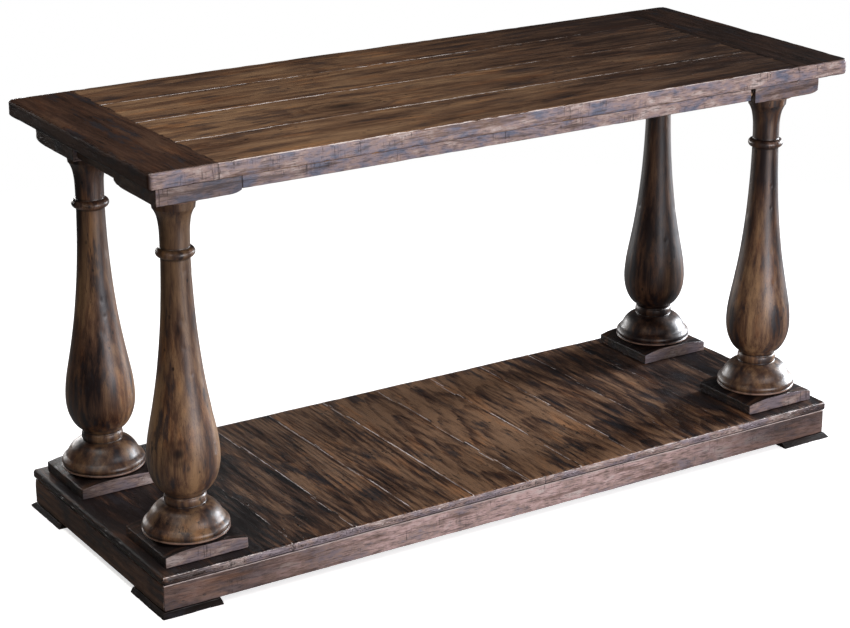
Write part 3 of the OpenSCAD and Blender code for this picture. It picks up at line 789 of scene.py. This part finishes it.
def keep(names, along, material):
    """CAD nodes that keep their shape and get a better material."""
    for name in names:
        node = frame["nodes"][name]
        co = np.array([v.co for v in node.data.vertices])
        write_attributes(node.data, {
            "grain": timber(co, along, seeds[name]),
            "wear_and_highlight": np.zeros(len(co)),
            "wax_stain_and_shade": np.zeros(len(co)),
            "seam": np.full(len(co), FAR),
            "tone": np.full(len(co), 0.5),
        })
        node.data.materials.clear()
        node.data.materials.append(material)


keep(["shelf_bearer_front", "shelf_bearer_back", "rail_dowels"], "x", inner_wood)
keep([n for n in frame["nodes"] if n.startswith("plinth_block")], "x", inner_wood)
keep([n for n in frame["nodes"] if n.startswith("top_batten")], "y", inner_wood)
keep(["leg_bolts", "leg_washers", "leg_nuts", "top_screws", "shelf_screws", "foot_screws"], "x", steel)


# ---- Studio ----

def floor_material():
    """Pale paper that sends little light back, and that fades into the white surround far from the table."""
    g = Graph("floor_paper")
    place = g.add("ShaderNodeTexCoord").outputs["Object"]
    fibre = g.noise(place, (3, 3, 3))
    paper = g.mix(fibre, (0.92, 0.92, 0.92), (0.89, 0.89, 0.89))
    seen = g.add("ShaderNodeLightPath").outputs["Is Camera Ray"]
    g.put(g.surface.inputs["Base Color"], g.mix(seen, (0.20, 0.20, 0.20), paper))
    g.put(g.surface.inputs["Roughness"], 0.9)
    g.put(g.surface.inputs["Specular IOR Level"], 0.0)
    g.put(g.surface.inputs["Emission Color"], (1, 1, 1, 1))
    g.put(g.surface.inputs["Emission Strength"], g.math("MULTIPLY", seen, 0.6))
    distance = g.add("ShaderNodeVectorMath", operation="LENGTH")
    g.put(distance.inputs[0], place)
    g.put(g.surface.inputs["Alpha"], g.ramp(distance.outputs["Value"], 2.2, 1.0))
    return g.material


def studio_floor(half=3.0):
    """A pale square sheet under the table. half is half its side."""
    mesh = bpy.data.meshes.new("studio_floor")
    corners = [(-half, -half, 0), (half, -half, 0), (half, half, 0), (-half, half, 0)]
    mesh.from_pydata(corners, [], [(0, 1, 2, 3)])
    mesh.materials.append(floor_material())
    floor = bpy.data.objects.new("studio_floor", mesh)
    bpy.context.scene.collection.objects.link(floor)


def softbox(name, at, aim, width, height, power, colour):
    """A rectangular area light."""
    light = bpy.data.lights.new(name, "AREA")
    light.shape = "RECTANGLE"
    light.size, light.size_y = width, height
    light.energy = power
    light.color = colour
    lamp = bpy.data.objects.new(name, light)
    lamp.location = at
    lamp.rotation_euler = (Vector(aim) - Vector(at)).to_track_quat("-Z", "Y").to_euler()
    bpy.context.scene.collection.objects.link(lamp)


def world(seen, given):
    """A white surround: seen is how bright the camera finds it, and given is how much light it sends."""
    scene_world = bpy.data.worlds.new("studio")
    scene_world.use_nodes = True
    tree = scene_world.node_tree
    background = tree.nodes["Background"]
    path = tree.nodes.new("ShaderNodeLightPath")
    strength = tree.nodes.new("ShaderNodeMapRange")
    strength.inputs["To Min"].default_value = given
    strength.inputs["To Max"].default_value = seen
    tree.links.new(path.outputs["Is Camera Ray"], strength.inputs["Value"])
    tree.links.new(strength.outputs["Result"], background.inputs["Strength"])
    background.inputs["Color"].default_value = (1, 1, 1, 1)
    bpy.context.scene.world = scene_world


studio_floor()
world(seen=1.0, given=0.04)
softbox("key_front", at=(0.6, -3.2, 0.85), aim=(0.1, 0.0, 0.32), width=1.5, height=0.7, power=104,
        colour=(1.0, 0.96, 0.99))
softbox("side_right", at=(3.6, 0.12, 0.88), aim=(0.2, 0.05, 0.10), width=0.9, height=0.7, power=265,
        colour=(0.92, 0.95, 1.0))
softbox("left_small", at=(-2.2, -1.3, 1.7), aim=(-0.4, 0.0, 0.2), width=0.4, height=0.4, power=8,
        colour=(1.0, 0.92, 0.85))
softbox("back_fill", at=(-0.3, 3.3, 0.60), aim=(0.0, 0.0, 0.40), width=1.8, height=0.25, power=52,
        colour=(1.0, 0.98, 0.97))
softbox("overhead", at=(-0.95, -0.15, 2.5), aim=(-0.4, 0.0, 0.7), width=1.0, height=0.8, power=34,
        colour=(1.0, 0.97, 0.93))


def camera(place, turn, tilt, lens, shift):
    """Looks along Y, turned towards X and tilted down by those angles in degrees."""
    data = bpy.data.cameras.new("camera")
    data.sensor_width = 36
    data.lens = lens
    data.shift_x, data.shift_y = shift
    turn, tilt = math.radians(turn), math.radians(tilt)
    ahead = Vector((math.sin(turn) * math.cos(tilt), math.cos(turn) * math.cos(tilt), -math.sin(tilt)))
    right = Vector((math.cos(turn), -math.sin(turn), 0))
    up = right.cross(ahead)
    facing = Matrix((right, up, -ahead)).transposed().to_4x4()
    holder = bpy.data.objects.new("camera", data)
    holder.matrix_world = Matrix.Translation(place) @ facing
    bpy.context.scene.collection.objects.link(holder)
    bpy.context.scene.camera = holder


# From the table's left front corner, a little above it
camera(place=(-2.1617, -3.3865, 1.7337), turn=32.99, tilt=18.42, lens=97.42, shift=(-0.0412, -0.0494))
bpy.context.scene.view_settings.view_transform = "Standard"
